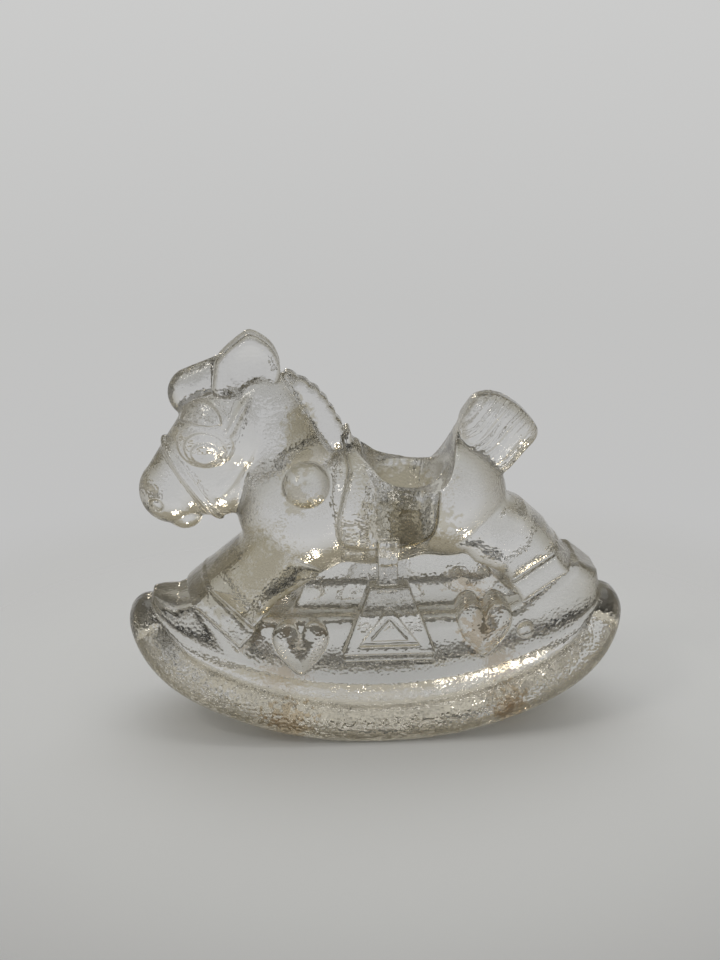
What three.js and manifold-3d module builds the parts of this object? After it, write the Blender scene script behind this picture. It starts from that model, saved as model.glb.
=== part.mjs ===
// A clear pressed-glass rocking horse with an open well in its saddle.
// Millimetres, +Z up, the horse faces -X, the floor is at Z = 0 and the middle plane is Y = 0.
import * as THREE from "three";
import { mergeVertices } from "three/addons/utils/BufferGeometryUtils.js";
import Module from "manifold-3d";

const wasm = await Module();
wasm.setup();

// Clearance between neighbouring pieces
const fitGap = 0.3;

// Rocker rails: each runs round from the bow to the stern, in plan as half of a blunt oval
const rockerRadius = 105;
const rockerReach = 56.4;
const rockerHalfWidth = 16.3;
const planBluntness = 2.9;
const railRadius = 5;
const groundHalfLength = 14;
const tipRise = 5.6;
const tipSharpness = 16;
const railSteps = 36;

// Base hull between the rails
const hullLift = 2.5;
const hullHalfWidth = 15.2;
const deckHalfWidth = 14.4;
const hullFlare = 3;
const hullWallFoot = 13.5;
const deckHeight = 30.5;
const deckRise = 6;
const bowSink = 2.4;
const bowLip = 4.2;
const bowDrop = 1.2;
const sternLip = 1.7;
const sternShoulder = 3.6;
const hullEndInset = 1;
const hullEndRise = 1.6;
const hullSteps = 20;
const spineHalfWidth = 5;
const spineSink = 8;

// Torso: chest, barrel and rump run into each other
const torsoHalfWidth = 14.5;
const bodySides = 18;
const chestX = -18.4;
const chestZ = 53;
const chestRadius = 15.1;
const chestHalfWidth = 13.9;
const barrelZ = 55;
const barrelLength = 44;
const barrelHeight = 29;
const rumpX = 16.8;
const rumpZ = 57;
const rumpRadius = 14.9;

// Legs reach fore and aft, and each hoof stands square on a stepped end of the hull
const legReachY = 12.8;
const legRound = 3.2;
const legFall = 3;
const frontLegAngle = 44;
const frontLegX = -37.1;
const frontLegZ = 32.8;
const frontLegWidth = 17.4;
const frontLegLength = 21;
const hindLegAngle = 124;
const hindLegX = 38.5;
const hindLegZ = 41.5;
const hindLegWidth = 14.8;
const hindLegLength = 18;
const hoofThickness = 5.1;
const hoofOverhang = 0.5;
const hoofRound = 1.2;

// Neck and head
const neckFootX = -21;
const neckFootZ = 60;
const neckFootRadius = 13.5;
const neckTopX = -27;
const neckTopZ = 79.6;
const neckTopRadius = 9.5;
const neckFlatness = 0.78;
const skullX = -36.3;
const skullZ = 73.6;
const skullRadius = 12.2;
const noseX = -49.4;
const noseZ = 59.8;
const noseRadius = 8.4;
const headFlatness = 0.8;
const jawForward = 2.5;
const jawDrop = 11;
const jawRadius = 9.6;
const lipBack = 2.6;
const lipDrop = 6;
const lipHalfLength = 4.3;
const lipHalfWidth = 4.5;
const lipHalfHeight = 3.9;
const nostrilForward = 4.2;
const nostrilDrop = 2.4;
const nostrilRadius = 1.3;

// The noseband's ring round the muzzle
const nosebandAngle = 34;
const nosebandBack = 4.2;
const nosebandUp = 3.2;
const nosebandHalfLength = 11.5;
const nosebandHalfWidth = 8.5;
const nosebandThickness = 1.3;

// Ears, forelock and mane
const earWidth = 15.6;
const earHeight = 16.6;
const earThickness = 4.4;
const earRound = 1.8;
const earLip = 2.2;
const earHollow = 1.1;
const earSetback = 5.1;
const earRise = 16.2;
const forelockRadius = 5.2;
const forelockTipRadius = 6.2;
const forelockFlatness = 0.95;
const forelockSetback = 0.5;
const forelockReach = 8;
const forelockDrop = 4.2;
const forelockRise = 14.5;
const maneHalfWidth = 3.7;
const maneWidth = 8.4;
const maneReach = 20.6;
const maneRise = 9.6;
const maneRound = 0.7;
const maneRibDepth = 0.5;
const maneRibCount = 9;

// Eyes and brows
const eyeLength = 13.4;
const eyeHeight = 10.4;
const eyeProud = 1.5;
const eyeSunk = 0.75;
const eyeRingShare = 0.62;
const eyeRingWidth = 0.7;
const eyeForward = 4.9;
const eyeDrop = 1.2;
const browRadius = 1.2;
const browRise = 4;

// Handle peg ends at the shoulders
const knobX = -17.9;
const knobZ = 62.6;
const knobRadius = 5.9;
const knobY = 9;
const ballSides = 14;

// Saddle and its open well
const wellX = 6.5;
const wellFloorZ = 48;
const wellFloorRadius = 6.6;
const wellMouthRadius = 10.4;
const wellMouthZ = 70;
const wellWall = 2;
const wellFloorThickness = 2;
const wellSides = 26;
const rimSteps = 18;
const rimDipZ = 63.6;
const rimFrontZ = 70.3;
const rimRearZ = 75;
const saddleThickness = 1.3;
const saddleFront = 17;
const saddleRear = 7;
const saddleSkirtZ = 48;
const pommelRadius = 2.9;
const pommelHalfWidth = 5;
const pommelDrop = 1.7;

// Stirrups and their straps
const stirrupX = 1.7;
const strapWidth = 4.8;
const strapProud = 1.7;
const strapRound = 0.6;
const strapTuck = 7;
const strapLap = 2;
const stirrupTopZ = 39.6;
const stirrupFootZ = 22.2;
const stirrupTopWidth = 9.5;
const stirrupFootWidth = 22.6;
const stirrupProud = 2.6;
const stirrupRound = 0.8;
const stirrupSideBar = 4.3;
const stirrupFootBar = 2.2;
const stirrupTopBar = 5;
const stirrupRecess = 1.3;

// Hearts and balls in relief, and how deep any relief is sunk into what it lies on
const reliefDepth = 5;
const heartWidth = 13.4;
const heartHeight = 13.4;
const heartProud = 2.4;
const heartRound = 1.3;
const frontHeartX = -19.6;
const frontHeartZ = 23.4;
const rearHeartX = 25.1;
const rearHeartZ = 26.9;
const ballRadius = 2.1;
const ballSeat = 0.6;
const ballX = 35.3;
const ballZ = 26.3;

// Tail
const tailX = 29.3;
const tailZ = 72.2;
const tailWidth = 19.2;
const tailHeight = 20.6;
const tailThickness = 12.5;
const tailRound = 4.2;

const glass = { color: 0xdcdcd2, roughness: 0.04, metalness: 0 };
const degree = Math.PI / 180;
const huge = 300;
const NEAR = -1;
const FAR = 1;

// Turns a closed three.js geometry into a solid
function solid(geometry) {
  const bare = geometry.clone();
  bare.deleteAttribute("normal");
  bare.deleteAttribute("uv");
  const merged = mergeVertices(bare, 1e-4);
  const index = merged.index.array;
  const triangles = [];
  for (let i = 0; i < index.length; i += 3) {
    const [a, b, c] = [index[i], index[i + 1], index[i + 2]];
    if (a !== b && b !== c && c !== a) {
      triangles.push(a, b, c);
    }
  }
  const vertProperties = new Float32Array(merged.attributes.position.array);
  const triVerts = new Uint32Array(triangles);
  return new wasm.Manifold(new wasm.Mesh({ numProp: 3, vertProperties, triVerts }));
}

// Gives a solid back as a three.js geometry
function geometryOf(body) {
  const mesh = body.getMesh();
  const geometry = new THREE.BufferGeometry();
  geometry.setAttribute("position", new THREE.BufferAttribute(new Float32Array(mesh.vertProperties), 3));
  geometry.setIndex(new THREE.BufferAttribute(new Uint32Array(mesh.triVerts), 1));
  geometry.computeVertexNormals();
  return geometry;
}

// The same solid with its surface moved out by a distance
function grown(body, distance) {
  const mesh = body.getMesh();
  const points = mesh.vertProperties;
  const index = mesh.triVerts;
  const count = points.length / 3;
  const sums = Array.from({ length: count }, () => new THREE.Vector3());
  const facesAt = Array.from({ length: count }, () => []);
  const corner = (i) => new THREE.Vector3(points[3 * i], points[3 * i + 1], points[3 * i + 2]);
  for (let i = 0; i < index.length; i += 3) {
    const ids = [index[i], index[i + 1], index[i + 2]];
    const corners = ids.map(corner);
    const normal = new THREE.Vector3().subVectors(corners[1], corners[0]);
    normal.cross(new THREE.Vector3().subVectors(corners[2], corners[0]));
    if (normal.length() > 1e-9) {
      normal.normalize();
      ids.forEach((id, k) => {
        const toNext = new THREE.Vector3().subVectors(corners[(k + 1) % 3], corners[k]);
        const toLast = new THREE.Vector3().subVectors(corners[(k + 2) % 3], corners[k]);
        sums[id].addScaledVector(normal, toNext.angleTo(toLast));
        facesAt[id].push(normal);
      });
    }
  }
  const moved = new Float32Array(points);
  for (let i = 0; i < count; i += 1) {
    const outward = sums[i].normalize();
    const least = Math.min(1, ...facesAt[i].map((normal) => normal.dot(outward)));
    const step = distance / Math.max(0.6, least);
    moved[3 * i] += outward.x * step;
    moved[3 * i + 1] += outward.y * step;
    moved[3 * i + 2] += outward.z * step;
  }
  const triVerts = new Uint32Array(index);
  return new wasm.Manifold(new wasm.Mesh({ numProp: 3, vertProperties: moved, triVerts }));
}

function largest(body) {
  return body.decompose().reduce((best, next) => (next.volume() > best.volume() ? next : best));
}

function union(...bodies) {
  return bodies.reduce((all, next) => all.add(next));
}

// Everything on one side of a plane through a point, where the angle in the X-Z plane says which side
function beyond(x, z, angle) {
  const box = new THREE.BoxGeometry(huge, huge, huge);
  box.translate(huge / 2, 0, 0);
  box.rotateY(-angle * degree);
  box.translate(x, 0, z);
  return solid(box);
}

function ellipsoid(x, y, z, rx, ry, rz, around = 16, down = 10) {
  const ball = new THREE.SphereGeometry(1, around, down);
  ball.scale(rx, ry, rz);
  ball.translate(x, y, z);
  return solid(ball);
}

// Two balls in the X-Z plane joined by their common cone, squeezed in Y by the flatness
function taper(x0, z0, r0, x1, z1, r1, flatness, sides = 16) {
  const length = Math.hypot(x1 - x0, z1 - z0);
  const lean = Math.asin((r0 - r1) / length);
  const steps = 4;
  const profile = [];
  for (let i = 0; i <= steps; i += 1) {
    const turn = -Math.PI / 2 + ((lean + Math.PI / 2) * i) / steps;
    profile.push(new THREE.Vector2(i === 0 ? 0 : r0 * Math.cos(turn), r0 * Math.sin(turn)));
  }
  for (let i = 0; i <= steps; i += 1) {
    const turn = lean + ((Math.PI / 2 - lean) * i) / steps;
    profile.push(new THREE.Vector2(i === steps ? 0 : r1 * Math.cos(turn), length + r1 * Math.sin(turn)));
  }
  const body = new THREE.LatheGeometry(profile, sides);
  const axis = new THREE.Vector3(x1 - x0, 0, z1 - z0).normalize();
  body.applyQuaternion(new THREE.Quaternion().setFromUnitVectors(new THREE.Vector3(0, 1, 0), axis));
  body.scale(1, flatness, 1);
  body.translate(x0, 0, z0);
  return solid(body);
}

// An outline in the X-Z plane, carried from one Y to another, with rounded edges
function plate(outline, yFrom, yTo, round, roundSteps = 2) {
  const high = Math.max(yFrom, yTo);
  const depth = Math.abs(yTo - yFrom) - 2 * round;
  const shape = new THREE.Shape(outline.map(([x, z]) => new THREE.Vector2(x, z)));
  const body = new THREE.ExtrudeGeometry(shape, {
    depth,
    bevelEnabled: round > 0,
    bevelThickness: round,
    bevelSize: round,
    bevelOffset: -round,
    bevelSegments: roundSteps,
  });
  body.rotateX(Math.PI / 2);
  body.translate(0, high - round, 0);
  return solid(body);
}

// A smooth closed outline through a few points
function smooth(points, count) {
  const corners = points.map(([x, z]) => new THREE.Vector3(x, 0, z));
  const spaced = new THREE.CatmullRomCurve3(corners, true).getSpacedPoints(count);
  spaced.pop();
  return spaced.map((point) => [point.x, point.z]);
}

// Shares of a half width and a half height, as points round a centre
function scaled(shares, x, z, width, height) {
  return shares.map(([u, v]) => [x + (u * width) / 2, z + (v * height) / 2]);
}

// Points along and across an axis at an angle, as X and Z
function turned(points, x, z, angle) {
  const [c, s] = [Math.cos(angle * degree), Math.sin(angle * degree)];
  return points.map(([along, across]) => [x + c * along - s * across, z + s * along + c * across]);
}

// A round bar along a curve
function bar(points, radius, steps, curveSegments) {
  const section = new THREE.Shape();
  section.absarc(0, 0, radius, 0, 2 * Math.PI, false);
  const extrudePath = new THREE.CatmullRomCurve3(points);
  const options = { steps, extrudePath, curveSegments, bevelEnabled: false };
  return solid(new THREE.ExtrudeGeometry(section, options));
}

const group = new THREE.Group();
const placed = [];

// Adds a piece, cut clear of every piece placed before it
function place(name, shape) {
  let body = shape;
  const box = shape.boundingBox();
  for (const other of placed) {
    const apart = [0, 1, 2].some((k) => box.min[k] > other.box.max[k] || box.max[k] < other.box.min[k]);
    if (!apart) {
      body = body.subtract(other.room);
    }
  }
  const mesh = new THREE.Mesh(geometryOf(largest(body)), new THREE.MeshStandardMaterial(glass));
  mesh.name = name;
  group.add(mesh);
  const room = grown(shape, fitGap);
  placed.push({ room, box: room.boundingBox() });
}

function placePair(name, build) {
  place(`near_${name}`, build(NEAR));
  place(`far_${name}`, build(FAR));
}

// The rocker's circle meets the floor at the ends of the flat
const rockerCentreZ = Math.sqrt(rockerRadius ** 2 - groundHalfLength ** 2);

// Height of a line that follows the rocker's circle and turns up at the two tips
function lineHeight(radius, x) {
  return rockerCentreZ - Math.sqrt(radius ** 2 - x ** 2) + tipRise * (x / rockerReach) ** tipSharpness;
}

// Share of the full width that the blunt oval has at a place along its length
function planShare(x) {
  return Math.max(0, 1 - Math.abs(x / rockerReach) ** planBluntness) ** (1 / planBluntness);
}

function wallY(x) {
  return hullHalfWidth * planShare(x);
}

// A signed power, for walking round the blunt oval
function bluntPower(value) {
  return Math.sign(value) * Math.abs(value) ** (2 / planBluntness);
}

// One rail: a round bar on the rocker's circle that follows the oval in plan, flat where it stands
function rockerRail(side) {
  const lineRadius = rockerRadius - railRadius;
  const points = [];
  for (let i = 0; i <= railSteps; i += 1) {
    const turn = (Math.PI * i) / railSteps;
    const x = rockerReach * bluntPower(-Math.cos(turn));
    const y = rockerHalfWidth * bluntPower(Math.sin(turn));
    points.push(new THREE.Vector3(x, side * y, lineHeight(lineRadius, x)));
  }
  const past = new THREE.Vector3(0, -side * railRadius, 0);
  points.unshift(points[0].clone().add(past));
  points.push(points.at(-1).clone().add(past));
  const floor = new THREE.BoxGeometry(huge, huge, huge);
  floor.translate(0, 0, -huge / 2);
  const otherHalf = new THREE.BoxGeometry(huge, huge, huge);
  otherHalf.translate(0, -side * (huge / 2 - fitGap / 2), 0);
  const rail = bar(points, railRadius, points.length - 1, 5);
  return rail.subtract(solid(floor)).subtract(solid(otherHalf));
}

// The two corners of a pair of hooves' soles, upper one first, seen from the side
function soleCorners(x, z, angle, width) {
  const corners = turned([[-hoofThickness, width / 2], [-hoofThickness, -width / 2]], x, z, angle);
  return corners.sort((a, b) => b[1] - a[1]);
}

// The boat-shaped base: leaning walls, a flared foot, stepped ends and a raised spine in the middle
function baseHull() {
  const [bowTop, bowFoot] = soleCorners(frontLegX, frontLegZ, frontLegAngle, frontLegWidth);
  const [sternTop, sternFoot] = soleCorners(hindLegX, hindLegZ, hindLegAngle, hindLegWidth);
  const sinkShare = bowSink / frontLegWidth;
  const bowShoulder = bowTop.map((value, k) => value + (bowFoot[k] - value) * sinkShare);
  const reach = rockerReach - hullEndInset;
  const endTop = lineHeight(rockerRadius - railRadius, rockerReach) + railRadius + hullEndRise;
  const lineRadius = rockerRadius - hullLift;
  const keel = lineHeight(lineRadius, 0);
  const halfSection = [
    [hullHalfWidth + hullFlare, keel],
    [hullHalfWidth + hullFlare, (keel + hullWallFoot) / 2],
    [hullHalfWidth, hullWallFoot],
    [deckHalfWidth, sternTop[1]],
  ];
  const section = [...halfSection, ...halfSection.map(([y, z]) => [-y, z]).reverse()];
  const shape = new THREE.Shape(section.map(([y, z]) => new THREE.Vector2(y, z)));
  const options = { depth: 2 * reach, steps: hullSteps, bevelEnabled: false };
  const body = new THREE.ExtrudeGeometry(shape, options);
  const alongX = new THREE.Vector3(1, 0, 0);
  const alongY = new THREE.Vector3(0, 1, 0);
  const alongZ = new THREE.Vector3(0, 0, 1);
  body.applyMatrix4(new THREE.Matrix4().makeBasis(alongY, alongZ, alongX));
  body.translate(-reach, 0, 0);
  const places = body.attributes.position;
  for (let i = 0; i < places.count; i += 1) {
    const x = places.getX(i);
    places.setY(i, places.getY(i) * planShare(x));
    places.setZ(i, places.getZ(i) + lineHeight(lineRadius, x) - keel);
  }
  const outline = [
    [-reach, -hullLift],
    [reach, -hullLift],
    [reach, endTop],
    [reach - hullEndInset, sternTop[1] - sternShoulder],
    [sternTop[0] + sternLip, sternTop[1]],
    sternTop,
    sternFoot,
    [sternFoot[0] - deckRise, deckHeight],
    [bowFoot[0] + deckRise, deckHeight],
    bowFoot,
    bowShoulder,
    [bowShoulder[0] - bowLip, bowShoulder[1] - bowDrop],
    [-reach, endTop],
  ];
  const spineFoot = deckHeight - spineSink;
  const spine = plate(
    [[chestX, spineFoot], [hindLegX, spineFoot], [rumpX, barrelZ], [chestX, barrelZ]],
    -spineHalfWidth, spineHalfWidth, 0,
  );
  return solid(body).intersect(plate(outline, -huge, huge, 0)).add(spine);
}

function torso() {
  const barrelX = (chestX + rumpX) / 2;
  return union(
    ellipsoid(chestX, 0, chestZ, chestRadius, chestHalfWidth, chestRadius, bodySides),
    ellipsoid(barrelX, 0, barrelZ, barrelLength / 2, torsoHalfWidth, barrelHeight / 2, bodySides),
    ellipsoid(rumpX, 0, rumpZ, rumpRadius, torsoHalfWidth, rumpRadius, bodySides),
  );
}

// Lets the upper edge of a leg or hoof fall away towards the outside, and leaves its lower edge
function sloped(body, x, z, angle, width) {
  const mesh = body.getMesh();
  const points = new Float32Array(mesh.vertProperties);
  const [c, s] = [Math.cos(angle * degree), Math.sin(angle * degree)];
  for (let i = 0; i < points.length; i += 3) {
    const across = c * (points[i + 2] - z) - s * (points[i] - x);
    const upper = (across * Math.sign(c)) / width + 0.5;
    const fall = legFall * Math.min(1, Math.max(0, upper)) * (points[i + 1] / legReachY) ** 2;
    points[i] += s * fall * Math.sign(c);
    points[i + 2] -= c * fall * Math.sign(c);
  }
  const triVerts = new Uint32Array(mesh.triVerts);
  return new wasm.Manifold(new wasm.Mesh({ numProp: 3, vertProperties: points, triVerts }));
}

function legSide(shares, x, z, angle, width, length, side) {
  const outline = shares.map(([u, v]) => [u * length, (v * width) / 2]);
  const body = plate(turned(outline, x, z, angle), (side * fitGap) / 2, side * legReachY, legRound, 3);
  return sloped(body, x, z, angle, width);
}

// Leg outlines from the hoof up, as shares of the leg's length and of its half width at the hoof
const frontLegShares = [[0, 1], [0.55, 0.88], [1, 1], [1, -1.2], [0.46, -0.92], [0, -1]];
const hindLegShares = [
  [0, 1], [0.2, 1.15], [0.52, 1.65], [0.9, 1.8], [1, 0.8], [0.92, -0.3], [0.66, -0.76], [0.3, -0.98], [0, -1],
];

function frontLeg(side) {
  return legSide(
    frontLegShares, frontLegX, frontLegZ, frontLegAngle, frontLegWidth, frontLegLength, side,
  );
}

function hindLeg(side) {
  return legSide(hindLegShares, hindLegX, hindLegZ, hindLegAngle, hindLegWidth, hindLegLength, side);
}

function hoof(x, z, angle, width, side) {
  const half = width / 2;
  const outline = [
    [0, half],
    [0, -half],
    [-hoofThickness, -half - hoofOverhang],
    [-hoofThickness, half + hoofOverhang],
  ];
  const reach = side * (legReachY + hoofOverhang);
  const body = plate(turned(outline, x, z, angle).reverse(), (side * fitGap) / 2, reach, hoofRound);
  return sloped(body, x, z, angle, width);
}

function neck() {
  return taper(
    neckFootX, neckFootZ, neckFootRadius, neckTopX, neckTopZ, neckTopRadius, neckFlatness, bodySides,
  );
}

const faceLength = Math.hypot(noseX - skullX, noseZ - skullZ);
const faceX = (noseX - skullX) / faceLength;
const faceZ = (noseZ - skullZ) / faceLength;

// Half the head's width at a point of its side
function headSide(x, z) {
  const along = Math.min(faceLength, Math.max(0, (x - skullX) * faceX + (z - skullZ) * faceZ));
  const radius = skullRadius + ((noseRadius - skullRadius) * along) / faceLength;
  const away = Math.hypot(x - skullX - along * faceX, z - skullZ - along * faceZ);
  return headFlatness * Math.sqrt(Math.max(1, radius ** 2 - away ** 2));
}

const nosebandX = noseX + nosebandBack;
const nosebandZ = noseZ + nosebandUp;

function headWhole() {
  const jawX = skullX - jawForward;
  return union(
    taper(skullX, skullZ, skullRadius, noseX, noseZ, noseRadius, headFlatness, bodySides),
    ellipsoid(jawX, 0, skullZ - jawDrop, jawRadius, jawRadius * headFlatness, jawRadius),
  );
}

function head() {
  const offset = turned([[fitGap / 2, 0]], nosebandX, nosebandZ, nosebandAngle)[0];
  return headWhole().intersect(beyond(offset[0], offset[1], nosebandAngle));
}

function muzzle() {
  const offset = turned([[-fitGap / 2, 0]], nosebandX, nosebandZ, nosebandAngle)[0];
  let body = headWhole().intersect(beyond(offset[0], offset[1], nosebandAngle + 180));
  for (const side of [NEAR, FAR]) {
    const x = noseX - nostrilForward;
    const z = noseZ - nostrilDrop;
    const y = side * headSide(x, z);
    body = body.subtract(ellipsoid(x, y, z, nostrilRadius, nostrilRadius, nostrilRadius, 8, 6));
  }
  return body;
}

function noseband() {
  const ring = new THREE.TorusGeometry(nosebandHalfLength, nosebandThickness, 6, 22);
  ring.scale(1, nosebandHalfWidth / nosebandHalfLength, 1);
  ring.rotateY((90 - nosebandAngle) * degree);
  ring.translate(nosebandX, 0, nosebandZ);
  return solid(ring);
}

function lowerLip() {
  return ellipsoid(noseX + lipBack, 0, noseZ - lipDrop, lipHalfLength, lipHalfWidth, lipHalfHeight, 12, 8);
}

// The ear's outline, as shares of its half width and half height
const earShares = [
  [0.2, 1], [0.73, 0.68], [0.99, 0.2], [0.98, -0.2], [0.73, -0.68], [0.07, -0.99], [-0.6, -0.93],
  [-1, -0.62], [-0.93, 0], [-0.8, 0.36], [-0.15, 0.9],
];

function ear(side) {
  const x = skullX + earSetback;
  const z = skullZ + earRise;
  const face = side * (fitGap / 2 + earThickness);
  const outline = smooth(scaled(earShares, x, z, earWidth, earHeight), 18);
  const body = plate(outline, (side * fitGap) / 2, face, earRound, 2);
  const hollowX = earWidth / 2 - earLip;
  const hollowZ = earHeight / 2 - earLip;
  return body.subtract(ellipsoid(x, face, z, hollowX, earHollow, hollowZ, 12, 8));
}

function forelock() {
  const x = skullX + forelockSetback;
  const z = skullZ + forelockRise;
  const tipX = x - forelockReach;
  const tipZ = z - forelockDrop;
  return taper(x, z, forelockRadius, tipX, tipZ, forelockTipRadius, forelockFlatness, 12);
}

function eye(side) {
  const x = skullX - eyeForward;
  const z = skullZ - eyeDrop;
  const y = side * (headSide(x, z) - eyeSunk);
  const deep = eyeProud + eyeSunk;
  const ringLength = eyeRingShare * eyeLength;
  const ring = new THREE.TorusGeometry(ringLength / 2, eyeRingWidth / 2, 4, 14);
  ring.scale(1, eyeHeight / eyeLength, 1);
  ring.rotateX(Math.PI / 2);
  ring.translate(x, y + side * deep * Math.sqrt(1 - eyeRingShare ** 2), z);
  return ellipsoid(x, y, z, eyeLength / 2, deep, eyeHeight / 2, ballSides).subtract(solid(ring));
}

function brow(side) {
  const x = skullX - eyeForward;
  const z = skullZ - eyeDrop;
  const points = [];
  for (let turn = 30; turn <= 150; turn += 15) {
    const px = x + (eyeLength / 2) * Math.cos(turn * degree);
    const pz = z + (eyeHeight / 2 + browRise) * Math.sin(turn * degree);
    points.push(new THREE.Vector3(px, side * headSide(px, pz), pz));
  }
  return bar(points, browRadius, 8, 3);
}

// The mane's outer line from poll to withers, as shares of its reach back and its rise over the neck's top
const maneLine = [[0.24, 1], [0.62, 0.5], [0.89, -0.38], [1, -1]];

// The crest along the back of the neck, with one small round for each lock
function mane() {
  const line = maneLine.map(([back, up]) => {
    return new THREE.Vector3(neckTopX + back * maneReach, 0, neckTopZ + up * maneRise);
  });
  const outer = new THREE.CatmullRomCurve3(line);
  const perRib = 4;
  const count = maneRibCount * perRib;
  const outside = [];
  const inside = [];
  for (let i = 0; i <= count; i += 1) {
    const point = outer.getPointAt(i / count);
    const run = outer.getTangentAt(i / count);
    const rise = maneRibDepth * Math.abs(Math.sin((Math.PI * i) / perRib));
    outside.push([point.x - run.z * rise, point.z + run.x * rise]);
    if (i % perRib === 0) {
      inside.push([point.x + run.z * maneWidth, point.z - run.x * maneWidth]);
    }
  }
  return plate([...outside.reverse(), ...inside], -maneHalfWidth, maneHalfWidth, maneRound, 1);
}

function knob(side) {
  return ellipsoid(knobX, side * knobY, knobZ, knobRadius, knobRadius, knobRadius, ballSides);
}

function wellRadius(z) {
  const share = (z - wellFloorZ) / (wellMouthZ - wellFloorZ);
  return wellFloorRadius + (wellMouthRadius - wellFloorRadius) * share;
}

// The rim from the front of the well to its rear, as shares of the well's reach from its middle
const frontRimShares = [[-1.25, 1], [-1, 1], [-0.86, 0.8], [-0.53, 0.24], [-0.06, 0]];
const rearRimShares = [[0.41, 0.1], [0.65, 0.4], [0.83, 0.87], [1, 1], [1.25, 1]];

// The well's own wall and floor, with a rim that dips at both sides of the saddle
function saddleCup() {
  const top = rimRearZ + wellWall;
  const bottom = wellFloorZ - wellFloorThickness;
  const profile = [
    [0, bottom],
    [wellRadius(bottom) + wellWall, bottom],
    [wellRadius(top) + wellWall, top],
    [wellRadius(top), top],
    [wellRadius(wellFloorZ), wellFloorZ],
    [0, wellFloorZ],
  ];
  const body = new THREE.LatheGeometry(profile.map(([r, z]) => new THREE.Vector2(r, z)), wellSides);
  body.rotateX(Math.PI / 2);
  body.translate(wellX, 0, 0);
  const reach = wellMouthRadius + wellWall;
  const rimPoint = (u, share, topZ) => {
    return new THREE.Vector3(wellX + u * reach, 0, rimDipZ + share * (topZ - rimDipZ));
  };
  const line = [
    ...frontRimShares.map(([u, share]) => rimPoint(u, share, rimFrontZ)),
    ...rearRimShares.map(([u, share]) => rimPoint(u, share, rimRearZ)),
  ];
  const rim = new THREE.CatmullRomCurve3(line).getPoints(rimSteps).map((point) => [point.x, point.z]);
  const above = [...rim, [rim.at(-1)[0], huge], [rim[0][0], huge]];
  return solid(body).subtract(plate(above, -huge, huge, 0));
}

// Everything inside the well's outer wall and above it
function wellSpace() {
  const bottom = wellFloorZ - wellFloorThickness - fitGap;
  const profile = [
    [0, bottom],
    [wellRadius(bottom) + wellWall + fitGap, bottom],
    [wellRadius(rimRearZ) + wellWall + fitGap, rimRearZ],
    [0, rimRearZ],
  ];
  const body = new THREE.LatheGeometry(profile.map(([r, z]) => new THREE.Vector2(r, z)), wellSides);
  body.rotateX(Math.PI / 2);
  body.translate(wellX, 0, 0);
  return solid(body);
}

// The saddle's side outline, as shares of its reach fore and aft of the well and of the skirt's height
const saddleFrontEdge = [
  [-0.79, 1.4], [-0.82, 1.17], [-0.94, 0.72], [-1, 0.36], [-0.92, 0.06], [-0.65, -0.03],
];
const saddleRearEdge = [[0, 0], [0.6, 0.09], [0.91, 0.32], [1, 0.74], [1.06, 1.12]];

// The skirt: a thin skin over the torso with a flap at each side
function saddle() {
  const skin = grown(torso(), fitGap + saddleThickness);
  const skirtPoint = (back, up) => [wellX + back, saddleSkirtZ + up * (rimDipZ - saddleSkirtZ)];
  const outline = [
    ...saddleFrontEdge.map(([share, up]) => skirtPoint(share * saddleFront, up)),
    ...saddleRearEdge.map(([share, up]) => skirtPoint(share * saddleRear, up)),
  ];
  return skin.intersect(plate(outline, -huge, huge, 0)).subtract(wellSpace());
}

function pommel() {
  const x = wellX - wellRadius(rimFrontZ) - wellWall;
  return ellipsoid(x, 0, rimFrontZ - pommelDrop, pommelRadius, pommelHalfWidth, pommelRadius, 12, 8);
}

function strap(side) {
  const left = stirrupX - strapWidth / 2;
  const right = stirrupX + strapWidth / 2;
  const foot = stirrupTopZ - strapLap;
  const top = saddleSkirtZ + strapTuck;
  const face = torsoHalfWidth + strapProud;
  const outline = [[left, foot], [right, foot], [right, top], [left, top]];
  return plate(outline, side * (face - reliefDepth), side * face, strapRound, 1);
}

function stirrup(side) {
  const face = wallY(stirrupX) + stirrupProud;
  const [footHalf, topHalf] = [stirrupFootWidth / 2, stirrupTopWidth / 2];
  const outline = [
    [stirrupX - footHalf, stirrupFootZ], [stirrupX + footHalf, stirrupFootZ],
    [stirrupX + topHalf, stirrupTopZ], [stirrupX - topHalf, stirrupTopZ],
  ];
  const inner = [
    [stirrupX - footHalf + stirrupSideBar, stirrupFootZ + stirrupFootBar],
    [stirrupX + footHalf - stirrupSideBar, stirrupFootZ + stirrupFootBar],
    [stirrupX, stirrupTopZ - stirrupTopBar],
  ];
  const body = plate(outline, side * (face - reliefDepth), side * face, stirrupRound, 2);
  return body.subtract(plate(inner, side * (face - stirrupRecess), side * (face + stirrupRecess), 0));
}

// One half of the heart's outline, from the notch round to the tip
const heartLobe = [[0.22, 0.9], [0.55, 1], [0.88, 0.78], [1, 0.38], [0.82, -0.16], [0.42, -0.64]];

function heart(x, z, side) {
  const otherLobe = heartLobe.map(([u, v]) => [-u, v]);
  const shares = [[0, 0.58], ...otherLobe, [0, -1], ...[...heartLobe].reverse()];
  const face = wallY(x) + heartProud;
  const outline = scaled(shares, x, z, heartWidth, heartHeight);
  return plate(outline, side * (face - reliefDepth), side * face, heartRound, 2);
}

function ball(side) {
  const y = side * (wallY(ballX) + ballSeat);
  return ellipsoid(ballX, y, ballZ, ballRadius, ballRadius, ballRadius, 10, 8);
}

// The tail's outline, as shares of its half width and half height
const tailShares = [
  [-1, 0.27], [-0.88, -0.48], [-0.3, -1], [0.15, -0.92], [0.65, -0.4], [0.93, -0.1], [0.97, 0.2],
  [0.54, 0.67], [-0.02, 0.98], [-0.54, 0.96], [-0.83, 0.67],
];

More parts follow.
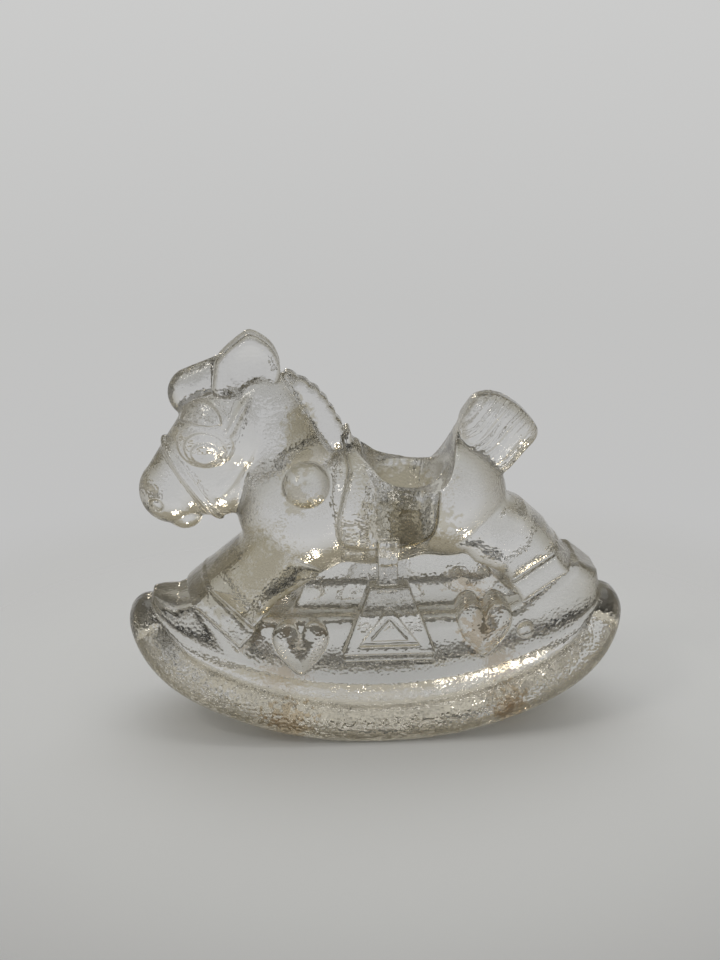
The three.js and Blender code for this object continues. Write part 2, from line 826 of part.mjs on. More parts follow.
function tail() {
  const outline = smooth(scaled(tailShares, tailX, tailZ, tailWidth, tailHeight), 20);
  return plate(outline, -tailThickness / 2, tailThickness / 2, tailRound, 3);
}

place("saddle_cup", saddleCup());
place("torso", torso().subtract(wellSpace()));
place("noseband", noseband());
place("head", head());
place("muzzle", muzzle());
place("lower_lip", lowerLip());
place("neck", neck());
placePair("front_leg", frontLeg);
placePair("hind_leg", hindLeg);
placePair("front_hoof", (side) => hoof(frontLegX, frontLegZ, frontLegAngle, frontLegWidth, side));
placePair("hind_hoof", (side) => hoof(hindLegX, hindLegZ, hindLegAngle, hindLegWidth, side));
placePair("rocker_rail", rockerRail);
place("base_hull", baseHull());
place("saddle", saddle());
place("pommel", pommel());
placePair("stirrup", stirrup);
placePair("stirrup_strap", strap);
placePair("front_heart", (side) => heart(frontHeartX, frontHeartZ, side));
placePair("rear_heart", (side) => heart(rearHeartX, rearHeartZ, side));
placePair("ball", ball);
placePair("ear", ear);
place("forelock", forelock());
placePair("eye", eye);
placePair("brow", brow);
place("mane", mane());
placePair("handle_knob", knob);
place("tail", tail());

export default group;
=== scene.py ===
import math

import bpy
import numpy as np
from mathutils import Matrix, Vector


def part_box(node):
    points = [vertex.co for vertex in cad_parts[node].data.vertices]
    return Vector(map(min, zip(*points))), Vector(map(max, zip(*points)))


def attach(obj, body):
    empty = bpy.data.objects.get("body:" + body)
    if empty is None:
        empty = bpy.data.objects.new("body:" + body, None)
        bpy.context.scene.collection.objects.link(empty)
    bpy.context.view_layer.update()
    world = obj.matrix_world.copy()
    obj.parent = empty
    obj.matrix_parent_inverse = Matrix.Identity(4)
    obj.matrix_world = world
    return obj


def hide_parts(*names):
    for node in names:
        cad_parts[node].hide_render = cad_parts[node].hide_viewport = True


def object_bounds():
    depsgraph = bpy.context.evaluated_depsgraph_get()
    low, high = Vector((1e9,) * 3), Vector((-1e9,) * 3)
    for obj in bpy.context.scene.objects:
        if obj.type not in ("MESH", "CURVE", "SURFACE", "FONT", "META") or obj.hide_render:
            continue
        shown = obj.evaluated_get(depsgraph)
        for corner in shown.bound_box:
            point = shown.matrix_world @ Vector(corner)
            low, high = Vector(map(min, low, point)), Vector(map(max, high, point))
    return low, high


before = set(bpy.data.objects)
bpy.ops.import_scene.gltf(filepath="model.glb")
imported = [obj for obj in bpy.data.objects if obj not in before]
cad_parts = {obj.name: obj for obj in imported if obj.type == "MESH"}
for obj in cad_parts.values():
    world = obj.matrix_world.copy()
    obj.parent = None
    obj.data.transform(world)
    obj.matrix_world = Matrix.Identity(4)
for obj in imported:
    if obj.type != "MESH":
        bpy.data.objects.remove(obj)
cad_low, cad_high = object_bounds()

# A clear pressed-glass rocking horse, made as one fused glass body over the frame.
# Its forms are in millimetres in the frame's axes: the horse faces -X, +Z is up, and y is measured outwards
# from the middle plane, because both sides are alike. The painted shade and reflections and the bumps of
# the glass, the stage, the lamps and the camera are in metres.
MM = 0.001

# Grid of the glass body: its cell, the cells along a coarse block, how near the surface a block is worked
# out finely, the gap left to the CAD's box, and how many points are worked out at a time
CELL = 0.42
BLOCK = 4
BAND = 2.6
BOX_MARGIN = 0.02
CHUNK = 200_000

# Rocker rails
ROCKER_RADIUS = 105
ROCKER_REACH = 56.4
ROCKER_HALF_WIDTH = 16.3
PLAN_BLUNTNESS = 2.9
RAIL_RADIUS = 5
RAIL_STEPS = 72
RAIL_FOOT_ROUND = 0.4
GROUND_HALF_LENGTH = 14
TIP_RISE = 5.6
TIP_SHARPNESS = 16
ROCKER_CENTRE_Z = math.sqrt(ROCKER_RADIUS**2 - GROUND_HALF_LENGTH**2)

# Base hull
HULL_LIFT = 2.5
HULL_HALF_WIDTH = 15.2
HULL_FLARE = 3
HULL_WALL_FOOT = 13.5
HULL_ROUND = 1.6
DECK_HALF_WIDTH = 14.4
DECK_HEIGHT = 30.5
DECK_RUN = 6
BOW_SINK = 2.4
BOW_LIP = 4.2
BOW_DROP = 1.2
STERN_LIP = 1.7
STERN_SHOULDER = 3.6
HULL_END_INSET = 1
HULL_END_RISE = 1.6
SPINE_HALF_WIDTH = 5
SPINE_SINK = 8
SPINE_ROUND = 1
SPINE_FILLET = 7

# Torso: each ball's x, z, radius and half width
TORSO_HALF_WIDTH = 14.5
CHEST = (-18.4, 53, 15.1, 13.9)
RUMP = (16.8, 57, 14.9, 14.5)
BARREL_Z = 55
BARREL_LENGTH = 44
BARREL_HEIGHT = 29
BARREL_FILLET = 2

# Legs and hooves: each leg's foot x and z, its turn in degrees, its width and its length. The outlines are
# shares of its length and of half its width
LEG_REACH = 12.8
LEG_ROUND = 4.6
LEG_FALL = 3
FRONT_LEG = (-37.1, 32.8, 44, 17.4, 21)
HIND_LEG = (38.5, 41.5, 124, 14.8, 18)
HOOF_THICKNESS = 5.1
HOOF_OVERHANG = 0.5
HOOF_ROUND = 1.7
HOOF_SINK = 0.6
HOOF_TAPER = 0.4
FRONT_LEG_SHARES = [(0, 1), (0.55, 0.88), (1, 1), (1, -1.2), (0.46, -0.92), (0, -1)]
HIND_LEG_SHARES = [
    (0, 1), (0.2, 1.15), (0.52, 1.65), (0.9, 1.8), (1, 0.8), (0.92, -0.3), (0.66, -0.76), (0.3, -0.98),
    (0, -1),
]

# Neck and head: each ball's x, z and radius, and how far the jaw lies forward of and below the skull
NECK_FOOT = (-21, 60, 13.5)
NECK_TOP = (-27, 79.6, 9.5)
NECK_FLATNESS = 0.78
SKULL = (-36.3, 73.6, 12.2)
NOSE = (-49.4, 59.8, 8.4)
HEAD_FLATNESS = 0.8
JAW_FORWARD = 2.5
JAW_DROP = 11
JAW_RADIUS = 9.6
JAW_FILLET = 2.5

# Noseband, lower lip and nostril: places seen from the nose's centre, and sizes
NOSEBAND_PLACE = (4.2, 3.2)
NOSEBAND_ANGLE = 34
NOSEBAND_RADIUS = 0.85
NOSEBAND_FILLET = 0.7
LIP_PLACE = (2.6, -6)
LIP_RADII = (4.3, 4.5, 3.9)
LIP_FILLET = 0.7
NOSTRIL_PLACE = (-4.2, -2.4)
NOSTRIL_RADII = (1.9, 2, 1.7)
NOSTRIL_EDGE = 0.4

# Ears and forelock. The ear's outline is shares of half its length and half its height. The forelock starts
# at a place seen from the skull's centre, and goes from one radius to the other
EAR_HALF_THICKNESS = 2.8
EAR_FOOT = 2.6
EAR_ROUND = 2.4
EAR_HOLLOW_SHIFT = (0.4, 0.3)
EAR_HOLLOW_BORDER = (2.6, 3)
EAR_HOLLOW_DEPTH = 1.3
EAR_HOLLOW_EDGE = 1.6
EAR_SHARES = [
    (0.2, 1), (0.73, 0.68), (0.99, 0.2), (0.98, -0.2), (0.73, -0.68), (0.07, -0.99), (-0.6, -0.93),
    (-1, -0.62), (-0.93, 0), (-0.8, 0.36), (-0.15, 0.9),
]
FORELOCK_FLATNESS = 0.66
FORELOCK_PLACE = (0.5, 14.5)
FORELOCK_REACH = (-8, -4.2)
FORELOCK_RADII = (5.2, 6.2)

# Relief of the face. The eye's place is seen from the skull's centre. Each of its terraces has the drop of
# its centre, half width, half height and rise. The brow has x, z, half width, half height and rise
EYE_PLACE = (-5, -0.4)
EYE_TERRACES = [(0, 6.9, 5.6, 0.65), (0.8, 5.2, 4.1, 0.6), (1.8, 3.6, 2.7, 0.6)]
EYE_STEP = 0.55
PUPIL_DIP = 0.4
PUPIL_SHARE = 0.4
BROW = (-42.3, 78.3, 5.5, 5.4, 1.2)
BROW_STEP = 0.16
BROW_FOOT = 0.5
BROW_FOOT_STEP = 0.8
# Raised lines: points, rise and half width
FACE_LINES = [
    ([(-29.5, 85), (-33.2, 80.5), (-35.3, 76.6)], 1.4, 1.1),
    ([(-26, 84), (-28, 76.5), (-31, 69.3), (-35, 63.6), (-38.4, 60)], 0.35, 0.9),
]
FACE_FROM = 1
FACE_FADE = 3

# Mane: its outer line is shares of its length and height, seen from the neck's top
MANE_LINE = [(0.24, 1), (0.62, 0.5), (0.89, -0.38), (1, -1)]
MANE_LENGTH = 20.6
MANE_HEIGHT = 9.6
MANE_STEPS = 6
MANE_DEPTH = 8.4
MANE_ROUND = 2.2
LOCK_PITCH = 3.3
LOCK_WAY = (0.6, -0.8)
LOCK_BASE = 0.3
LOCK_RISE = 0.4

# Saddle and well
WELL_X = 6.5
WELL_FLOOR_Z = 48
WELL_FLOOR_RADIUS = 6.6
WELL_MOUTH_Z = 70
WELL_MOUTH_RADIUS = 10.4
WELL_WALL = 2
WELL_REACH = WELL_MOUTH_RADIUS + WELL_WALL
WELL_FOOT_ROUND = 1
WELL_FLOOR_ROUND = 1.5
# The rim's rise over its dip, along the well: share of the well's reach and millimetres
RIM_DIP_Z = 62.3
RIM_PROFILE = [
    (-1.25, 7.5), (-1, 5.4), (-0.86, 2.8), (-0.7, 1.2), (-0.53, 0.4), (-0.06, 0), (0.41, 0.3), (0.65, 1.3),
    (0.8, 3.4), (0.9, 6.2), (0.97, 9.8), (1.02, 13.2), (1.25, 13.6),
]
RIM_SAMPLES = 51
RIM_SMOOTHINGS = 3
RIM_SLOPE = 0.75
RIM_ROUND = 1.8
RIM_CLEARANCE = 1
RIM_CLEARANCE_ROUND = 2
REAR_CLEARANCE = 4
REAR_CLEARANCE_FADE = 5
FLARE = 0.25
FLARE_FOOT_Z = 56
FLARE_HEIGHT = 5
SKIRT_FRONT = WELL_X - 17
SKIRT_REAR = WELL_X + 7
SKIRT_FOOT = 48
SKIRT_DIP = 63.6
SKIRT_OUTLINE = [
    (SKIRT_FRONT + 3.6, SKIRT_DIP + 12), (SKIRT_FRONT + 3, SKIRT_DIP + 3), (SKIRT_FRONT + 1, SKIRT_DIP - 4),
    (SKIRT_FRONT, SKIRT_DIP - 10), (SKIRT_FRONT + 1.4, SKIRT_FOOT + 1), (SKIRT_FRONT + 6, SKIRT_FOOT - 0.4),
    (SKIRT_REAR - 7, SKIRT_FOOT), (SKIRT_REAR - 2.8, SKIRT_FOOT + 1.4), (SKIRT_REAR - 0.6, SKIRT_FOOT + 5),
    (SKIRT_REAR, SKIRT_DIP - 4), (SKIRT_REAR + 0.8, SKIRT_DIP), (SKIRT_REAR + 2.6, SKIRT_DIP + 4),
    (SKIRT_REAR + 4.4, SKIRT_DIP + 9), (SKIRT_REAR + 4.4, SKIRT_DIP + 12),
]
SKIRT_STEPS = 3
SKIRT_THICKNESS = 1.5
SKIRT_ROUND = 1.4
SKIRT_FILLET = 0.6
POMMEL_SINK = 1
POMMEL_RADII = (2.9, 5, 2.9)

# Handle knobs
KNOB_PLACE = (-17.9, 9, 62.6)
KNOB_RADIUS = 5.9

# Stirrups and straps. Relief on the sides starts this deep inside the body that carries it
RELIEF_DEPTH = 6
STRAP_X = 1.4
STRAP_FOOT = 37
STRAP_TOP = 51
STRAP_HALF_WIDTH = 2.4
STRAP_RISE = 1.7
STRAP_ROUND = 0.6
STIRRUP_X = 1.7
STIRRUP_TOP = 39.6
STIRRUP_FOOT = 22.2
STIRRUP_FOOT_HALF_WIDTH = 11.3
STIRRUP_TOP_HALF_WIDTH = 4.75
STIRRUP_RISE = 2.6
STIRRUP_ROUND = 0.8
POCKET_HALF_WIDTH = 7.4
POCKET_FOOT = 2.2
POCKET_DROP = 5
POCKET_DEPTH = 1.4
POCKET_EDGE = 0.5
TABLET_HALF_WIDTH = 4.6
TABLET_FOOT = 3.4
TABLET_TOP = 9
TABLET_SINK = 0.5
TABLET_ROUND = 0.4
TABLET_FILLET = 0.3
LEDGE_TOP = 22.4
LEDGE_FOOT = 20.2
LEDGE_HALF_WIDTH = 10.8
LEDGE_RISE = 2.1
LEDGE_ROUND = 0.9

# Small plates on the belly under the saddle's front: x, z, half width and half height
PLATES = [(-7.3, 51.4, 1.9, 2.7), (-6.4, 42.8, 2.3, 3.7)]
PLATE_RISE = 0.5
PLATE_STEP = 0.25
PLATE_FROM = 6
PLATE_FADE = 3

# Hearts and balls on the hull. The lobe is one side of the heart, from its notch to its tip
HEART_LOBE = [(0.22, 0.9), (0.55, 1), (0.88, 0.78), (1, 0.38), (0.82, -0.16), (0.42, -0.64)]
HEART_NOTCH = 0.5
HEART_RISE = 2.4
HEART_BORDER = 3.2
HEART_SLOPE = 0.7
BALL_RISE = 0.6
BALL_RADIUS = 2.1

# Tail: outline as shares of half its width and half its height, centre and size
TAIL_SHARES = [
    (-1, 0.27), (-0.88, -0.48), (-0.3, -1), (0.15, -0.92), (0.65, -0.4), (0.93, -0.1), (0.97, 0.2),
    (0.54, 0.67), (-0.02, 0.98), (-0.54, 0.96), (-0.83, 0.67),
]
TAIL_PLACE = (29.3, 72.2)
TAIL_SIZE = (19.2, 20.6)
TAIL_ROUND = 4.6
# Grooves: way across them, and depth and pitch of the fine and the broad ones, which drift sideways
GROOVE_WAY = (0.62, -0.78)
GROOVE_FINE = (0.17, 1.9)
GROOVE_BROAD = (0.12, 4.3)
GROOVE_DRIFT = 0.8
GROOVE_DRIFT_LENGTH = 4.1
GROOVE_SINK = 0.15

# Fillets where the forms join
NECK_FILLET = 4
LEG_FILLET = 1.6
HEAD_FILLET = 1.6
FORELOCK_FILLET = 1
EAR_FILLET = 0.4
MANE_FILLET = 0.8
RIM_EDGE = 1
CUP_FILLET = 2.6
POMMEL_FILLET = 1
TAIL_FILLET = 1
KNOB_FILLET = 0.6
RAIL_FILLET = 0.8
HEART_FILLET = 0.5
BALL_FILLET = 0.5
STIRRUP_FILLET = 0.4
LEDGE_FILLET = 0.4
BASE_FILLET = 0.8
HOOF_FILLET = 0.6
STRAP_FILLET = 0.4
WELL_EDGE = 0.8

# A distance that nothing reaches, and the least divisor
FAR = 1e9
SMALL = 1e-6


def blend(a, b, k):
    """The nearer of two surfaces, with a soft fillet k millimetres wide where they meet."""
    h = np.maximum(k - np.abs(a - b), 0) / k
    return np.minimum(a, b) - h * h * k / 4


def meet(a, b, k):
    """What both bodies share, with a softened edge."""
    return -blend(-a, -b, k)


def carve(a, b, k):
    """The first body with the second taken away, with a softened edge."""
    return -blend(-a, b, k)


def ellipsoid(p, centre, radii):
    q = [(p[i] - centre[i]) / radii[i] for i in range(3)]
    k0 = np.sqrt(q[0] ** 2 + q[1] ** 2 + q[2] ** 2)
    k1 = np.sqrt((q[0] / radii[0]) ** 2 + (q[1] / radii[1]) ** 2 + (q[2] / radii[2]) ** 2)
    return k0 * (k0 - 1) / np.maximum(k1, SMALL)


def taper(p, start, end, flatness):
    """Two balls (x, z, radius) in the middle plane and the cone between them, squeezed in y."""
    (x0, z0, r0), (x1, z1, r1) = start, end
    dx, dz = x1 - x0, z1 - z0
    along = ((p[0] - x0) * dx + (p[2] - z0) * dz) / (dx * dx + dz * dz)
    along = np.clip(along, 0, 1)
    away = np.sqrt((p[0] - x0 - along * dx) ** 2 + (p[2] - z0 - along * dz) ** 2 + (p[1] / flatness) ** 2)
    return (away - r0 - along * (r1 - r0)) * (0.5 + flatness / 2)


def line_distance(px, pz, points):
    """Distance to an open line of straight pieces."""
    best = np.full(px.shape, FAR, np.float32)
    for (ax, az), (bx, bz) in zip(points, points[1:]):
        ex, ez = bx - ax, bz - az
        wx, wz = px - ax, pz - az
        share = np.clip((wx * ex + wz * ez) / (ex * ex + ez * ez), 0, 1)
        best = np.minimum(best, (wx - share * ex) ** 2 + (wz - share * ez) ** 2)
    return np.sqrt(best)


def polygon(px, pz, corners):
    """Signed distance to a closed outline, negative inside."""
    ring = corners + corners[:1]
    inside = np.zeros(px.shape, bool)
    for (ax, az), (bx, bz) in zip(ring, ring[1:]):
        right_of = (bx - ax) * (pz - az) > (bz - az) * (px - ax)
        inside ^= ((pz >= az) != (pz >= bz)) & (right_of == (bz > az))
    return np.where(inside, -1, 1) * line_distance(px, pz, ring)


def step(value, width):
    """0 below zero, 1 above the width, and a smooth rise between."""
    t = np.clip(value / width, 0, 1)
    return t * t * (3 - 2 * t)


def slab(flat, across, round_):
    """An outline carried across y, with rounded edges, from its distance and the distance across."""
    u, v = flat + round_, across + round_
    return np.minimum(np.maximum(u, v), 0) + np.hypot(np.maximum(u, 0), np.maximum(v, 0)) - round_


def smooth_outline(points, steps=4):
    """A closed curve through a few points, as a finer list of corners."""
    n = len(points)
    made = []
    for i in range(n):
        p0, p1, p2, p3 = (np.array(points[(i + k - 1) % n], float) for k in range(4))
        for s in range(steps):
            t = s / steps
            q = 2 * p1 + (p2 - p0) * t + (2 * p0 - 5 * p1 + 4 * p2 - p3) * t**2
            q = q + (3 * p1 - p0 - 3 * p2 + p3) * t**3
            made.append((q[0] / 2, q[1] / 2))
    return made


def shares(points, centre_x, centre_z, width, height):
    """Points given as shares of half a width and half a height, from -1 to 1, in millimetres."""
    return [(centre_x + u * width / 2, centre_z + v * height / 2) for u, v in points]


def turned(points, x, z, angle):
    """Points (along, across) of a form that starts at x, z and runs at an angle in degrees."""
    c, s = math.cos(math.radians(angle)), math.sin(math.radians(angle))
    return [(x + c * u - s * v, z + s * u + c * v) for u, v in points]


def middle(node):
    """Centre and half size of a node of the frame, in millimetres."""
    low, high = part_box(node)
    return [(a + b) / 2 / MM for a, b in zip(low, high)], [(b - a) / 2 / MM for a, b in zip(low, high)]


def line_height(radius, x):
    """Height of the rocker's arc of this radius, with its tips bent up."""
    lift = TIP_RISE * (x / ROCKER_REACH) ** TIP_SHARPNESS
    return ROCKER_CENTRE_Z - np.sqrt(radius**2 - x * x) + lift


def plan_share(x):
    """Share of the full width that the blunt oval has at a place along its length."""
    return np.maximum(0, 1 - np.abs(x / ROCKER_REACH) ** PLAN_BLUNTNESS) ** (1 / PLAN_BLUNTNESS)


def rails(p):
    turn = np.linspace(0, math.pi, RAIL_STEPS + 1)
    power = 2 / PLAN_BLUNTNESS
    xs = -ROCKER_REACH * np.sign(np.cos(turn)) * np.abs(np.cos(turn)) ** power
    ys = ROCKER_HALF_WIDTH * np.sin(turn) ** power
    line = np.stack([xs, ys, line_height(ROCKER_RADIUS - RAIL_RADIUS, xs)], 1)
    best = np.full(p[0].shape, FAR, np.float32)
    for a, b in zip(line, line[1:]):
        e = b - a
        w = [p[i] - a[i] for i in range(3)]
        share = np.clip((w[0] * e[0] + w[1] * e[1] + w[2] * e[2]) / (e @ e), 0, 1)
        best = np.minimum(best, sum((w[i] - share * e[i]) ** 2 for i in range(3)))
    return meet(np.sqrt(best) - RAIL_RADIUS, -p[2], RAIL_FOOT_ROUND)


def sole_corners(x, z, angle, width, _length):
    """The upper and lower end of a hoof's sole."""
    corners = turned([(-HOOF_THICKNESS, width / 2), (-HOOF_THICKNESS, -width / 2)], x, z, angle)
    return sorted(corners, key=lambda corner: -corner[1])


def hull(p):
    bow_top, bow_foot = sole_corners(*FRONT_LEG)
    stern_top, stern_foot = sole_corners(*HIND_LEG)
    sink = BOW_SINK / FRONT_LEG[3]
    shoulder = tuple(a + (b - a) * sink for a, b in zip(bow_top, bow_foot))
    reach = ROCKER_REACH - HULL_END_INSET
    end_top = float(line_height(ROCKER_RADIUS - RAIL_RADIUS, ROCKER_REACH)) + RAIL_RADIUS + HULL_END_RISE
    outline = [
        (-reach, -HULL_LIFT), (reach, -HULL_LIFT), (reach, end_top),
        (reach - HULL_END_INSET, stern_top[1] - STERN_SHOULDER), (stern_top[0] + STERN_LIP, stern_top[1]),
        stern_top, stern_foot,
        (stern_foot[0] - DECK_RUN, DECK_HEIGHT), (bow_foot[0] + DECK_RUN, DECK_HEIGHT),
        bow_foot, shoulder, (shoulder[0] - BOW_LIP, shoulder[1] - BOW_DROP), (-reach, end_top),
    ]
    # The walls' lean and flare go by the height over the rocker's arc
    rise = line_height(ROCKER_RADIUS - HULL_LIFT, p[0])
    keel = line_height(ROCKER_RADIUS - HULL_LIFT, 0.0)
    level = p[2] - rise + keel
    lean = np.clip((level - HULL_WALL_FOOT) / (stern_top[1] - HULL_WALL_FOOT), 0, 1)
    flare = np.clip((HULL_WALL_FOOT - level) / (HULL_WALL_FOOT / 2), 0, 1)
    half = HULL_HALF_WIDTH + (DECK_HALF_WIDTH - HULL_HALF_WIDTH) * lean + HULL_FLARE * flare
    wall = p[1] - half * plan_share(p[0])
    side = polygon(p[0], p[2], outline)
    body = meet(meet(side, wall, 2 * HULL_ROUND), rise - p[2], HULL_ROUND)
    foot = DECK_HEIGHT - SPINE_SINK
    spine = [(CHEST[0], foot), (HIND_LEG[0], foot), (RUMP[0], BARREL_Z), (CHEST[0], BARREL_Z)]
    web = meet(polygon(p[0], p[2], spine), p[1] - SPINE_HALF_WIDTH, SPINE_ROUND)
    return blend(body, web, SPINE_FILLET)


def torso(p):
    ends = [ellipsoid(p, (x, 0, z), (radius, half, radius)) for x, z, radius, half in (CHEST, RUMP)]
    barrel = ellipsoid(
        p, ((CHEST[0] + RUMP[0]) / 2, 0, BARREL_Z), (BARREL_LENGTH / 2, TORSO_HALF_WIDTH, BARREL_HEIGHT / 2)
    )
    return blend(blend(ends[0], barrel, BARREL_FILLET), ends[1], BARREL_FILLET)


def fallen(p, place):
    """Sample points moved so that a leg's or hoof's upper edge falls away towards the outside."""
    x, z, angle, width, _ = place
    c, s = math.cos(math.radians(angle)), math.sin(math.radians(angle))
    way = math.copysign(1, c)
    across = way * (c * (p[2] - z) - s * (p[0] - x))
    fall = way * LEG_FALL * np.clip(across / width + 0.5, 0, 1) * (p[1] / LEG_REACH) ** 2
    return p[0] - s * fall, p[1], p[2] + c * fall


def leg(p, place, outline):
    x, z, angle, width, length = place
    corners = turned([(u * length, v * width / 2) for u, v in outline], x, z, angle)
    q = fallen(p, place)
    return slab(polygon(q[0], q[2], corners), p[1] - LEG_REACH, LEG_ROUND)


def hoof(p, place):
    x, z, angle, width, _ = place
    half = width / 2 + HOOF_OVERHANG
    outline = [
        (HOOF_SINK, half - HOOF_TAPER), (HOOF_SINK, HOOF_TAPER - half),
        (-HOOF_THICKNESS, -half), (-HOOF_THICKNESS, half),
    ]
    q = fallen(p, place)
    flat = polygon(q[0], q[2], turned(outline, x, z, angle))
    return slab(flat, p[1] - LEG_REACH - HOOF_OVERHANG, HOOF_ROUND)


def head_side(x, z):
    """Half the head's width at a point of its side."""
    (x0, z0, r0), (x1, z1, r1) = SKULL, NOSE
    dx, dz = x1 - x0, z1 - z0
    along = min(1, max(0, ((x - x0) * dx + (z - z0) * dz) / (dx * dx + dz * dz)))
    away = math.hypot(x - x0 - along * dx, z - z0 - along * dz)
    return HEAD_FLATNESS * math.sqrt(max(1, (r0 + along * (r1 - r0)) ** 2 - away**2))


def head(p):
    body = taper(p, SKULL, NOSE, HEAD_FLATNESS)
    jaw = (SKULL[0] - JAW_FORWARD, 0, SKULL[1] - JAW_DROP)
    jaw_radii = (JAW_RADIUS, JAW_RADIUS * HEAD_FLATNESS, JAW_RADIUS)
    body = blend(body, ellipsoid(p, jaw, jaw_radii), JAW_FILLET)
    # Noseband: a ring round the muzzle
    angle = math.radians(NOSEBAND_ANGLE)
    bx, bz = NOSE[0] + NOSEBAND_PLACE[0], NOSE[1] + NOSEBAND_PLACE[1]
    ahead = (p[0] - bx) * math.cos(angle) + (p[2] - bz) * math.sin(angle)
    body = blend(body, np.hypot(ahead, body) - NOSEBAND_RADIUS, NOSEBAND_FILLET)
    lip = ellipsoid(p, (NOSE[0] + LIP_PLACE[0], 0, NOSE[1] + LIP_PLACE[1]), LIP_RADII)
    body = blend(body, lip, LIP_FILLET)
    x, z = NOSE[0] + NOSTRIL_PLACE[0], NOSE[1] + NOSTRIL_PLACE[1]
    return carve(body, ellipsoid(p, (x, head_side(x, z), z), NOSTRIL_RADII), NOSTRIL_EDGE)


def ear(p):
    (x, _, z), (hx, _, hz) = middle("far_ear")
    y = hy = EAR_HALF_THICKNESS
    z, hz = z - EAR_FOOT / 2, hz + EAR_FOOT / 2
    outline = smooth_outline(shares(EAR_SHARES, x, z, 2 * hx, 2 * hz))
    body = slab(polygon(p[0], p[2], outline), np.abs(p[1] - y) - hy, EAR_ROUND)
    centre = (x + EAR_HOLLOW_SHIFT[0], y + hy + EAR_HOLLOW_SHIFT[1], z)
    radii = (hx - EAR_HOLLOW_BORDER[0], EAR_HOLLOW_DEPTH, hz - EAR_HOLLOW_BORDER[1])
    return carve(body, ellipsoid(p, centre, radii), EAR_HOLLOW_EDGE)


def forelock(p):
    x, z = SKULL[0] + FORELOCK_PLACE[0], SKULL[1] + FORELOCK_PLACE[1]
    tip = (x + FORELOCK_REACH[0], z + FORELOCK_REACH[1], FORELOCK_RADII[1])
    return taper(p, (x, z, FORELOCK_RADII[0]), tip, FORELOCK_FLATNESS)


def face(p, body):
    """The eye, brow and bridle as relief on both sides of the head."""
    x, z = SKULL[0] + EYE_PLACE[0], SKULL[1] + EYE_PLACE[1]
    relief = 0
    for drop, wide, high, rise in EYE_TERRACES:
        away = np.hypot((p[0] - x) / wide, (p[2] - z + drop) / high)
        relief = relief + rise * step(1 - away, EYE_STEP / wide)
    # The pupil is a dip in the last terrace
    relief = relief - PUPIL_DIP * np.exp(-((away / PUPIL_SHARE) ** 2))
    bx, bz, wide, high, rise = BROW
    away = np.hypot((p[0] - bx) / wide, (p[2] - bz) / high)
    relief = relief + rise * step(1 - away, BROW_STEP) * step(p[2] - bz + BROW_FOOT, BROW_FOOT_STEP)
    for line, rise, wide in FACE_LINES:
        relief = relief + rise * np.exp(-((line_distance(p[0], p[2], line) / wide) ** 2))
    return body - relief * step(p[1] - FACE_FROM, FACE_FADE)


def mane(p):
    half_width = middle("mane")[1][1]
    outer = [(NECK_TOP[0] + u * MANE_LENGTH, NECK_TOP[1] + v * MANE_HEIGHT) for u, v in MANE_LINE]
    count = (len(outer) - 1) * MANE_STEPS + 1
    outer = smooth_outline(outer + outer[-2:0:-1], MANE_STEPS)[:count]
    inner = []
    for (ax, az), (bx, bz) in zip(outer, outer[1:]):
        length = math.hypot(bx - ax, bz - az)
        inner.append((ax + (bz - az) / length * MANE_DEPTH, az - (bx - ax) / length * MANE_DEPTH))
    flat = polygon(p[0], p[2], outer + inner[::-1])
    # Locks: waves across the crest, counted along its length
    along = (p[0] - outer[0][0]) * LOCK_WAY[0] + (p[2] - outer[0][1]) * LOCK_WAY[1]
    lock = np.abs(np.sin(along * math.pi / LOCK_PITCH))
    return slab(flat + LOCK_BASE - LOCK_RISE * lock, p[1] - half_width, MANE_ROUND)


def saddle_skirt(p, body):
    """The body with the saddle's skirt laid on it."""
    flat = polygon(p[0], p[2], smooth_outline(SKIRT_OUTLINE, SKIRT_STEPS))
    return blend(body, meet(body - SKIRT_THICKNESS, flat, SKIRT_ROUND), SKIRT_FILLET)


def rim_height(x):
    """The well's rim: high at the pommel, low at the sides, highest at the cantle."""
    places, rises = zip(*RIM_PROFILE)
    fine = np.linspace(places[0], places[-1], RIM_SAMPLES)
    smooth = np.interp(fine, places, rises)
    for _ in range(RIM_SMOOTHINGS):
        smooth[1:-1] = (smooth[:-2] + 2 * smooth[1:-1] + smooth[2:]) / 4
    return RIM_DIP_Z + np.interp((x - WELL_X) / WELL_REACH, fine, smooth)


def well_radius(z):
    share = (z - WELL_FLOOR_Z) / (WELL_MOUTH_Z - WELL_FLOOR_Z)
    return WELL_FLOOR_RADIUS + (WELL_MOUTH_RADIUS - WELL_FLOOR_RADIUS) * share


def away_from_well(p):
    """Distance from the well's axis. Near the rim the well spreads to the sides."""
    rise = np.clip((p[2] - FLARE_FOOT_Z) / FLARE_HEIGHT, 0, 1)
    beside = np.clip(2 - 2 * np.abs(p[0] - WELL_X) / WELL_REACH, 0, 1)
    return np.hypot(p[0] - WELL_X, p[1] / (1 + FLARE * rise * beside))


def well_wall(p):
    """The cone of the well's outer wall, closed below its floor."""
    outer = away_from_well(p) - well_radius(p[2]) - WELL_WALL
    return meet(outer, WELL_FLOOR_Z - WELL_WALL - p[2], WELL_FOOT_ROUND)


def cup(p):
    return meet(well_wall(p), (p[2] - rim_height(p[0])) * RIM_SLOPE, RIM_ROUND)


def well(p):
    return meet(away_from_well(p) - well_radius(p[2]), WELL_FLOOR_Z - p[2], WELL_FLOOR_ROUND)


def pommel(p):
    (x, _, z), _ = middle("pommel")
    return ellipsoid(p, (x, 0, z - POMMEL_SINK), POMMEL_RADII)


def relief_across(p, carrier, face):
    """Across-distance of relief that ends at its face and starts inside the body that carries it."""
    return np.maximum(p[1] - face, carrier - RELIEF_DEPTH - p[1])


def upright_box(p, x, half_width, foot, top):
    return np.maximum(np.abs(p[0] - x) - half_width, np.maximum(foot - p[2], p[2] - top))


